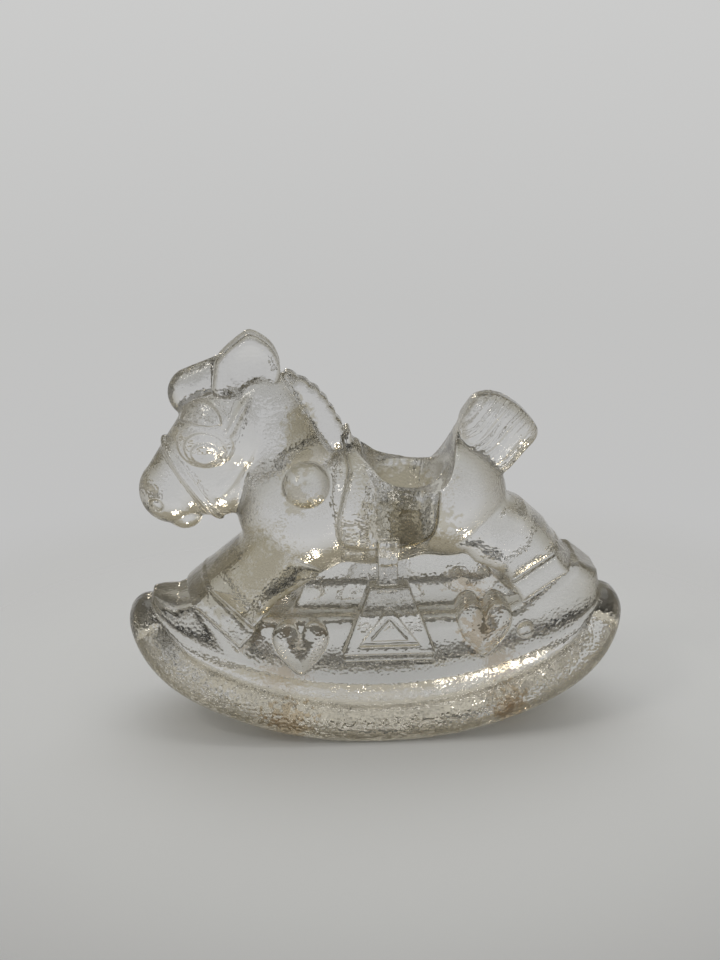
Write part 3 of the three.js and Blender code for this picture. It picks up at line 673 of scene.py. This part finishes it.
def hull_side(x):
    """Half width of the hull's side at a place along its length."""
    return HULL_HALF_WIDTH * plan_share(np.float32(x))


def strap(p):
    flat = upright_box(p, STRAP_X, STRAP_HALF_WIDTH, STRAP_FOOT, STRAP_TOP)
    return slab(flat, relief_across(p, TORSO_HALF_WIDTH, TORSO_HALF_WIDTH + STRAP_RISE), STRAP_ROUND)


def stirrup(p):
    x, top, foot = STIRRUP_X, STIRRUP_TOP, STIRRUP_FOOT
    face = hull_side(x) + STIRRUP_RISE
    low, high = STIRRUP_FOOT_HALF_WIDTH, STIRRUP_TOP_HALF_WIDTH
    outline = [(x - low, foot), (x + low, foot), (x + high, top), (x - high, top)]
    body = slab(polygon(p[0], p[2], outline), relief_across(p, face, face), STIRRUP_ROUND)

    def triangle(half, raised, tip):
        return polygon(p[0], p[2], [(x - half, foot + raised), (x + half, foot + raised), (x, tip)])

    pocket = triangle(POCKET_HALF_WIDTH, POCKET_FOOT, top - POCKET_DROP)
    body = carve(body, meet(pocket, face - POCKET_DEPTH - p[1], POCKET_EDGE), POCKET_EDGE)
    tablet = triangle(TABLET_HALF_WIDTH, TABLET_FOOT, foot + TABLET_TOP)
    tablet = slab(tablet, relief_across(p, face, face - TABLET_SINK), TABLET_ROUND)
    return blend(body, tablet, TABLET_FILLET)


def ledge(p):
    """A low step under the stirrup."""
    face = hull_side(STIRRUP_X) + LEDGE_RISE
    flat = upright_box(p, STIRRUP_X, LEDGE_HALF_WIDTH, LEDGE_FOOT, LEDGE_TOP)
    return slab(flat, relief_across(p, face, face), LEDGE_ROUND)


def plates(p, body):
    """The body with small plates raised on its belly."""
    relief = 0
    for x, z, wide, high in PLATES:
        away = np.maximum(np.abs(p[0] - x) / wide, np.abs(p[2] - z) / high)
        relief = relief + PLATE_RISE * step(1 - away, PLATE_STEP)
    return body - relief * step(p[1] - PLATE_FROM, PLATE_FADE)


def heart(p, node):
    (x, _, z), (hx, _, hz) = middle(node)
    other = [(-u, v) for u, v in HEART_LOBE]
    outline = shares([(0, HEART_NOTCH)] + other + [(0, -1)] + HEART_LOBE[::-1], x, z, 2 * hx, 2 * hz)
    flat = polygon(p[0], p[2], smooth_outline(outline))
    dome = np.sqrt(np.clip(-flat / HEART_BORDER, 0, 1))
    return np.maximum(flat, (p[1] - hull_side(x) - HEART_RISE * dome) * HEART_SLOPE)


def ball(p):
    (x, _, z), _ = middle("far_ball")
    return ellipsoid(p, (x, hull_side(x) + BALL_RISE, z), (BALL_RADIUS,) * 3)


def tail(p):
    (x, _, z), (_, half_width, _) = middle("tail")
    flat = polygon(p[0], p[2], smooth_outline(shares(TAIL_SHARES, *TAIL_PLACE, *TAIL_SIZE)))
    across = (p[0] - x) * GROOVE_WAY[0] + (p[2] - z) * GROOVE_WAY[1]
    drift = GROOVE_DRIFT * np.sin((p[0] + p[2]) / GROOVE_DRIFT_LENGTH)
    (fine, fine_pitch), (broad, broad_pitch) = GROOVE_FINE, GROOVE_BROAD
    groove = fine * np.sin((across + drift) * 2 * math.pi / fine_pitch)
    groove = groove + broad * np.sin(across * 2 * math.pi / broad_pitch)
    return slab(flat, p[1] - half_width + GROOVE_SINK + groove, TAIL_ROUND)


def glass_distance(x, y, z):
    """Distance to the glass, roughly in millimetres, negative inside it."""
    p = (x, np.abs(y), z)
    d = plates(p, torso(p))
    d = blend(d, taper(p, NECK_FOOT, NECK_TOP, NECK_FLATNESS), NECK_FILLET)
    d = blend(d, leg(p, FRONT_LEG, FRONT_LEG_SHARES), LEG_FILLET)
    d = blend(d, leg(p, HIND_LEG, HIND_LEG_SHARES), LEG_FILLET)
    d = blend(d, face(p, head(p)), HEAD_FILLET)
    d = blend(d, forelock(p), FORELOCK_FILLET)
    d = blend(d, ear(p), EAR_FILLET)
    d = blend(d, mane(p), MANE_FILLET)
    d = saddle_skirt(p, d)
    # Room over the rim, wider behind it, before the cup goes in
    behind = REAR_CLEARANCE * np.clip((p[0] - WELL_X) / REAR_CLEARANCE_FADE, 0, 1)
    room = meet(well_wall(p) - behind, rim_height(p[0]) - RIM_CLEARANCE - p[2], RIM_CLEARANCE_ROUND)
    d = carve(d, room, RIM_EDGE)
    d = blend(d, cup(p), CUP_FILLET)
    d = blend(d, pommel(p), POMMEL_FILLET)
    d = blend(d, tail(p), TAIL_FILLET)
    d = blend(d, ellipsoid(p, KNOB_PLACE, (KNOB_RADIUS,) * 3), KNOB_FILLET)
    base = blend(hull(p), rails(p), RAIL_FILLET)
    for node in ("far_front_heart", "far_rear_heart"):
        base = blend(base, heart(p, node), HEART_FILLET)
    base = blend(base, ball(p), BALL_FILLET)
    base = blend(base, stirrup(p), STIRRUP_FILLET)
    base = blend(base, ledge(p), LEDGE_FILLET)
    d = blend(d, base, BASE_FILLET)
    d = blend(d, hoof(p, FRONT_LEG), HOOF_FILLET)
    d = blend(d, hoof(p, HIND_LEG), HOOF_FILLET)
    d = blend(d, strap(p), STRAP_FILLET)
    return carve(d, well(p), WELL_EDGE)


def in_chunks(points):
    made = np.empty(len(points), np.float32)
    for start in range(0, len(points), CHUNK):
        part = points[start : start + CHUNK]
        made[start : start + CHUNK] = glass_distance(part[:, 0], part[:, 1], part[:, 2])
    return made


def sample_grid(low, high):
    """Distances on a grid, worked out finely only in the blocks near the surface."""
    counts = [int(math.ceil((b - a) / (CELL * BLOCK))) for a, b in zip(low, high)]
    coarse_axes = [a + CELL * BLOCK * (np.arange(n) + 0.5) for a, n in zip(low, counts)]
    centres = np.stack(np.meshgrid(*coarse_axes, indexing="ij"), -1).reshape(-1, 3).astype(np.float32)
    coarse = in_chunks(centres).reshape(counts)
    values = np.kron(coarse, np.ones((BLOCK,) * 3, np.float32))
    values = np.where(values > 0, BAND, -BAND).astype(np.float32)
    near = np.argwhere(np.abs(coarse) < BAND)
    steps = np.stack(np.meshgrid(*[np.arange(BLOCK)] * 3, indexing="ij"), -1).reshape(-1, 3)
    cells = (near[:, None, :] * BLOCK + steps[None]).reshape(-1, 3)
    points = (np.array(low) + CELL * (cells + 0.5)).astype(np.float32)
    values[cells[:, 0], cells[:, 1], cells[:, 2]] = in_chunks(points)
    return values, np.array(low) + CELL / 2


def surface_net(values, origin):
    """Vertices inside the grid's cells that the surface crosses, and a face for each crossed edge."""
    inside = values < 0
    shape = np.array(values.shape) - 1
    count = np.zeros(shape, np.float32)
    sums = np.zeros((*shape, 3), np.float32)
    corners = [(i, j, k) for i in (0, 1) for j in (0, 1) for k in (0, 1)]

    def window(array, corner):
        return array[tuple(slice(c, c + n) for c, n in zip(corner, shape))]

    for a in corners:
        for axis in range(3):
            if a[axis] == 1:
                continue
            b = tuple(c + (k == axis) for k, c in enumerate(a))
            va, vb = window(values, a), window(values, b)
            crossed = window(inside, a) != window(inside, b)
            share = np.where(crossed, va / np.where(crossed, va - vb, 1), 0)
            count += crossed
            for k in range(3):
                sums[..., k] += crossed * a[k] + (share if k == axis else 0)
    used = count > 0
    number = np.full(shape, -1, np.int64)
    number[used] = np.arange(int(used.sum()))
    places = np.argwhere(used) + sums[used] / count[used][:, None]
    faces = []
    for axis in range(3):
        u, v = (axis + 1) % 3, (axis + 2) % 3
        ends = [slice(1, n) for n in shape]
        ends[axis] = slice(0, shape[axis])
        start = inside[tuple(ends)]
        after = list(ends)
        after[axis] = slice(1, shape[axis] + 1)
        stop = inside[tuple(after)]
        at = np.argwhere(start != stop) + [int(k != axis) for k in range(3)]
        falls = start[start != stop]
        back_u, back_v = np.eye(3, dtype=int)[u], np.eye(3, dtype=int)[v]
        ring = [at - back_u - back_v, at - back_v, at, at - back_u]
        quad = np.stack([number[q[:, 0], q[:, 1], q[:, 2]] for q in ring], 1)
        faces.append(np.where(falls[:, None], quad, quad[:, ::-1]))
    return (origin + CELL * places).astype(np.float32), np.concatenate(faces)


# Moving the vertices onto the surface: the step that the slope is measured with, the least square of a
# slope, and how often it is done
SLOPE_STEP = 0.05
SLOPE_LEAST = 0.09
SETTLE_ROUNDS = 2


def gradient(points):
    made = np.empty_like(points)
    for axis in range(3):
        shift = np.zeros(3, np.float32)
        shift[axis] = SLOPE_STEP
        made[:, axis] = (in_chunks(points + shift) - in_chunks(points - shift)) / (2 * SLOPE_STEP)
    return made


def settle(points):
    """Moves the points along the gradient onto the surface."""
    for _ in range(SETTLE_ROUNDS):
        slope = gradient(points)
        length = np.maximum((slope**2).sum(1), SLOPE_LEAST)
        move = in_chunks(points)[:, None] * slope / length[:, None]
        points = points - np.clip(move, -CELL / 2, CELL / 2)
    return points


def mesh_object(name, points, faces):
    mesh = bpy.data.meshes.new(name)
    mesh.from_pydata((points * MM).tolist(), [], faces.tolist())
    mesh.polygons.foreach_set("use_smooth", np.ones(len(mesh.polygons), bool))
    mesh.update()
    made = bpy.data.objects.new(name, mesh)
    bpy.context.scene.collection.objects.link(made)
    return made


def glass_body():
    low = np.array(cad_low) / MM - 2 * CELL
    high = np.array(cad_high) / MM + 2 * CELL
    values, origin = sample_grid(low, high)
    points, faces = surface_net(values, origin)
    points = settle(points)
    points = np.clip(points, np.array(cad_low) / MM + BOX_MARGIN, np.array(cad_high) / MM - BOX_MARGIN)
    return mesh_object("glass_horse", points, faces)


def material(name):
    made = bpy.data.materials.new(name)
    made.use_nodes = True
    tree = made.node_tree
    tree.nodes.clear()
    return made, tree.nodes, tree.links


def constants(node, **values):
    """Sets a node's input sockets by name, with spaces for the underscores."""
    for name, value in values.items():
        node.inputs[name.replace("_", " ")].default_value = value


def colour_ramp(nodes, stops):
    """A colour ramp with these stops, each a place from 0 to 1 and a colour."""
    made = nodes.new("ShaderNodeValToRGB")
    elements = made.color_ramp.elements
    for element, (place, colour) in zip(elements, (stops[0], stops[-1])):
        element.position, element.color = place, (*colour, 1)
    for place, colour in stops[1:-1]:
        elements.new(place).color = (*colour, 1)
    return made


def worked_out(nodes, links, operation, first, second):
    """The result of an operation on an output and on a second output or a number."""
    made = nodes.new("ShaderNodeMath")
    made.operation = operation
    links.new(first, made.inputs[0])
    if isinstance(second, (int, float)):
        made.inputs[1].default_value = second
    else:
        links.new(second, made.inputs[1])
    return made.outputs["Value"]


def length_of(nodes, links, vector):
    made = nodes.new("ShaderNodeVectorMath")
    made.operation = "LENGTH"
    links.new(vector, made.inputs[0])
    return made.outputs["Value"]


def mixed(nodes, links, share, first, second):
    """Two shaders mixed by a share, from the first at 0 to the second at 1."""
    made = nodes.new("ShaderNodeMixShader")
    for slot, output in enumerate((share, first, second)):
        links.new(output, made.inputs[slot])
    return made.outputs["Shader"]


def noise(nodes, scale, detail):
    made = nodes.new("ShaderNodeTexNoise")
    constants(made, Scale=scale, Detail=detail)
    return made


# Glass: its colour from facing the view (0) to seen along the surface (1), near white where it faces the
# view and a painted khaki shade towards the rims that stands in for the dim room seen in the glass, and its
# ripple and grain as scale, detail and depth in metres
GLASS_ROUGHNESS = 0.02
GLASS_IOR = 1.5
RIM_SHADE_BLEND = 0.5
GLASS_PAINTED_RIM_SHADE = [
    (0.0, (0.90, 0.90, 0.90)),
    (0.13, (0.88, 0.875, 0.865)),
    (0.30, (0.60, 0.57, 0.49)),
    (0.65, (0.34, 0.31, 0.24)),
]
GLASS_BUMPS = [(180, 1, 0.0003), (1400, 0, 0.00011)]
# Painted shade and reflections on the glass by place: a khaki painted shade that stands in for the dim room
# seen in the glass, and an amber painted reflection of brown things; colour, raggedness of the border, and
# x, z, half width and half height of each place in metres
# Painted shade: khaki that stands in for the dim room seen in the glass
PAINTED_SHADE_KHAKI = (0.66, 0.61, 0.48, 1)
# Painted reflection: amber that stands in for brown things mirrored in the glass
PAINTED_REFLECTION_AMBER = (0.66, 0.53, 0.38, 1)
PAINTED_LIGHT_PLACES = [
    (PAINTED_SHADE_KHAKI, 1.8, [
        (-0.033, 0.041, 0.013, 0.012), (0.006, 0.055, 0.012, 0.0065), (-0.019, 0.074, 0.004, 0.008),
        (-0.020, 0.061, 0.0035, 0.0045),
    ]),
    (PAINTED_REFLECTION_AMBER, 4.5, [
        (0.0235, 0.0275, 0.004, 0.005), (-0.023, 0.006, 0.005, 0.005), (0.031, 0.008, 0.0035, 0.005),
    ]),
]
PAINTED_LIGHT_BORDER = (1.05, 0.8)
MOTTLE_SCALE = 700
MOTTLE_DETAIL = 2
MOTTLE_MIDDLE = 0.5


def glass_material():
    made, nodes, links = material("clear_glass")
    out = nodes.new("ShaderNodeOutputMaterial")
    shader = nodes.new("ShaderNodeBsdfPrincipled")
    constants(shader, Roughness=GLASS_ROUGHNESS, IOR=GLASS_IOR, Transmission_Weight=1)
    place = nodes.new("ShaderNodeTexCoord").outputs["Object"]

    # Painted khaki shade where the glass is seen along its surface, standing in for the dim room seen in it
    facing = nodes.new("ShaderNodeLayerWeight")
    constants(facing, Blend=RIM_SHADE_BLEND)
    rim_shade = colour_ramp(nodes, GLASS_PAINTED_RIM_SHADE)
    links.new(facing.outputs["Facing"], rim_shade.inputs["Fac"])
    colour = rim_shade.outputs["Color"]
    # Painted shade and reflections by place, with a mottled border
    mottle = noise(nodes, MOTTLE_SCALE, MOTTLE_DETAIL)
    links.new(place, mottle.inputs["Vector"])
    for painted_colour, raggedness, places in PAINTED_LIGHT_PLACES:
        nearest = None
        for x, z, wide, high in places:
            local = nodes.new("ShaderNodeMapping")
            constants(local, Scale=(1 / wide, 0, 1 / high), Location=(-x / wide, 0, -z / high))
            links.new(place, local.inputs["Vector"])
            away = length_of(nodes, links, local.outputs["Vector"])
            nearest = worked_out(nodes, links, "MINIMUM", nearest, away) if nearest else away
        ragged = worked_out(nodes, links, "SUBTRACT", mottle.outputs["Fac"], MOTTLE_MIDDLE)
        ragged = worked_out(nodes, links, "MULTIPLY", ragged, raggedness)
        share = nodes.new("ShaderNodeMapRange")
        constants(share, From_Min=PAINTED_LIGHT_BORDER[0], From_Max=PAINTED_LIGHT_BORDER[1])
        links.new(worked_out(nodes, links, "ADD", nearest, ragged), share.inputs["Value"])
        # Multiplies the painted khaki shade and the painted amber reflection into the glass's colour
        painted_mix = nodes.new("ShaderNodeMixRGB")
        painted_mix.blend_type = "MULTIPLY"
        constants(painted_mix, Color2=painted_colour)
        links.new(share.outputs["Result"], painted_mix.inputs["Fac"])
        links.new(colour, painted_mix.inputs["Color1"])
        colour = painted_mix.outputs["Color"]
    links.new(colour, shader.inputs["Base Color"])
    # Ripple and grain of a pressed surface
    normal = None
    for scale, detail, depth in GLASS_BUMPS:
        ripple = noise(nodes, scale, detail)
        bump = nodes.new("ShaderNodeBump")
        constants(bump, Strength=1, Distance=depth)
        links.new(place, ripple.inputs["Vector"])
        links.new(ripple.outputs["Fac"], bump.inputs["Height"])
        if normal:
            links.new(normal, bump.inputs["Normal"])
        normal = bump.outputs["Normal"]
    links.new(normal, shader.inputs["Normal"])
    links.new(shader.outputs["BSDF"], out.inputs["Surface"])
    return made


# Stage: a pale round floor that fades into a pale backdrop from FLOOR_FADE to its rim, and a dim room that
# only the glass meets. The colours of backdrop and room follow the height of their direction, from -1 to 1
FLOOR_RADIUS = 0.19
FLOOR_FADE = 0.04
FLOOR_SIDES = 96
FLOOR_COLOUR = (0.55, 0.56, 0.575, 1)
FLOOR_ROUGHNESS = 0.9
FLOOR_SHINE = 0.1
BACKDROP = [
    (-0.6, (0.35, 0.35, 0.345)),
    (-0.4, (0.53, 0.53, 0.53)),
    (-0.2, (0.54, 0.54, 0.535)),
    (0.0, (0.60, 0.60, 0.595)),
]
ROOM = [
    (0.1, (0.38, 0.355, 0.285)),
    (0.35, (0.43, 0.40, 0.325)),
    (0.75, (0.55, 0.52, 0.44)),
]
DIFFUSE_WORLD = (0.76, 0.745, 0.70, 1)
# Where the backdrop starts and is full, as the glass meets it: towards +Y, and from its top edge downwards
BACKDROP_SIDE = (0.62, 0.70)
BACKDROP_TOP = (0.22, 0.13)
# Lamps: place, target, size, power in watts, colour, and whether they are seen through the glass
LAMPS = {
    "softbox_back": ((0.05, 0.42, 0.68), (0, 0, 0), (0.8, 0.6), 1.3, (0.94, 0.97, 1), False),
    "lamp_back": ((-0.13, 0.9, 0.24), (0, 0, 0.05), (0.09, 0.045), 0.18, (1, 0.9, 0.74), True),
    "lamp_strip": ((0, -0.05, 0.8), (0, 0, 0.03), (0.5, 0.03), 0.3, (1, 0.98, 0.94), True),
    "lamp_left": ((-0.5, -0.35, 0.7), (0, 0, 0.05), (0.2, 0.14), 0.8, (1, 0.95, 0.86), True),
}


def floor_material():
    made, nodes, links = material("pale_floor")
    out = nodes.new("ShaderNodeOutputMaterial")
    shader = nodes.new("ShaderNodeBsdfPrincipled")
    constants(shader, Base_Color=FLOOR_COLOUR, Roughness=FLOOR_ROUGHNESS, Specular_IOR_Level=FLOOR_SHINE)
    # The rim of the floor fades into the backdrop
    place = nodes.new("ShaderNodeTexCoord").outputs["Object"]
    fade = nodes.new("ShaderNodeMapRange")
    fade.interpolation_type = "SMOOTHSTEP"
    constants(fade, From_Min=FLOOR_FADE, From_Max=FLOOR_RADIUS)
    links.new(length_of(nodes, links, place), fade.inputs["Value"])
    clear = nodes.new("ShaderNodeBsdfTransparent")
    seen = mixed(nodes, links, fade.outputs["Result"], shader.outputs["BSDF"], clear.outputs["BSDF"])
    links.new(seen, out.inputs["Surface"])
    return made


def stage_floor():
    turns = [2 * math.pi * k / FLOOR_SIDES for k in range(FLOOR_SIDES)]
    mesh = bpy.data.meshes.new("floor")
    ring = [(FLOOR_RADIUS * math.cos(turn), FLOOR_RADIUS * math.sin(turn), 0) for turn in turns]
    mesh.from_pydata(ring, [], [tuple(range(FLOOR_SIDES))])
    made = bpy.data.objects.new("floor", mesh)
    bpy.context.scene.collection.objects.link(made)
    mesh.materials.append(floor_material())


def area_light(name, place, target, size, power, colour, in_glass):
    data = bpy.data.lights.new(name, "AREA")
    data.shape = "RECTANGLE"
    data.size, data.size_y = size
    data.energy = power
    data.color = colour
    made = bpy.data.objects.new(name, data)
    made.visible_transmission = in_glass
    made.visible_camera = False
    made.location = place
    made.rotation_euler = (Vector(target) - Vector(place)).to_track_quat("-Z", "Y").to_euler()
    bpy.context.scene.collection.objects.link(made)


def studio():
    world = bpy.data.worlds.new("studio")
    bpy.context.scene.world = world
    world.use_nodes = True
    nodes, links = world.node_tree.nodes, world.node_tree.links
    nodes.clear()
    split = nodes.new("ShaderNodeSeparateXYZ")
    links.new(nodes.new("ShaderNodeTexCoord").outputs["Generated"], split.inputs["Vector"])

    def within(output, start, full):
        """How far a direction lies between two values, from 0 to 1."""
        made = nodes.new("ShaderNodeMapRange")
        constants(made, From_Min=start, From_Max=full)
        links.new(split.outputs[output], made.inputs["Value"])
        return made.outputs["Result"]

    def by_height(stops):
        low, high = stops[0][0], stops[-1][0]
        ramp = colour_ramp(nodes, [((height - low) / (high - low), colour) for height, colour in stops])
        links.new(within("Z", low, high), ramp.inputs["Fac"])
        made = nodes.new("ShaderNodeBackground")
        links.new(ramp.outputs["Color"], made.inputs["Color"])
        return made.outputs["Background"]

    below = worked_out(nodes, links, "LESS_THAN", split.outputs["Z"], 0)
    side, top = within("Y", *BACKDROP_SIDE), within("Z", *BACKDROP_TOP)
    ahead = worked_out(nodes, links, "MULTIPLY", side, top)
    pale = worked_out(nodes, links, "MAXIMUM", below, ahead)
    rays = nodes.new("ShaderNodeLightPath")
    diffuse = nodes.new("ShaderNodeBackground")
    constants(diffuse, Color=DIFFUSE_WORLD)
    backdrop = by_height(BACKDROP)
    seen = mixed(nodes, links, pale, by_height(ROOM), backdrop)
    seen = mixed(nodes, links, rays.outputs["Is Camera Ray"], seen, backdrop)
    seen = mixed(nodes, links, rays.outputs["Is Diffuse Ray"], seen, diffuse.outputs["Background"])
    out = nodes.new("ShaderNodeOutputWorld")
    links.new(seen, out.inputs["Surface"])
    for name, lamp in LAMPS.items():
        area_light(name, *lamp)


# Camera: raised 18 degrees and turned 4 degrees towards the horse's head
CAMERA_DISTANCE = 0.380
CAMERA_ELEVATION = 18
CAMERA_YAW = 4
CAMERA_TARGET = (-0.0042, 0, 0.061)
CAMERA_LENS = 58.43
SENSOR_WIDTH = 36
CLIP_START = 0.01


def camera():
    data = bpy.data.cameras.new("camera")
    data.lens = CAMERA_LENS
    data.sensor_width = SENSOR_WIDTH
    data.clip_start = CLIP_START
    made = bpy.data.objects.new("camera", data)
    down, yaw = math.radians(CAMERA_ELEVATION), math.radians(CAMERA_YAW)
    level = math.cos(down)
    look = Vector((math.sin(yaw) * level, math.cos(yaw) * level, -math.sin(down)))
    made.location = Vector(CAMERA_TARGET) - CAMERA_DISTANCE * look
    made.rotation_euler = look.to_track_quat("-Z", "Y").to_euler()
    bpy.context.scene.collection.objects.link(made)
    bpy.context.scene.camera = made


bpy.context.scene.view_settings.view_transform = "Standard"
camera()
horse = glass_body()
horse.data.materials.append(glass_material())
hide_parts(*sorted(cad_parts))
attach(horse, "root")
stage_floor()
studio()
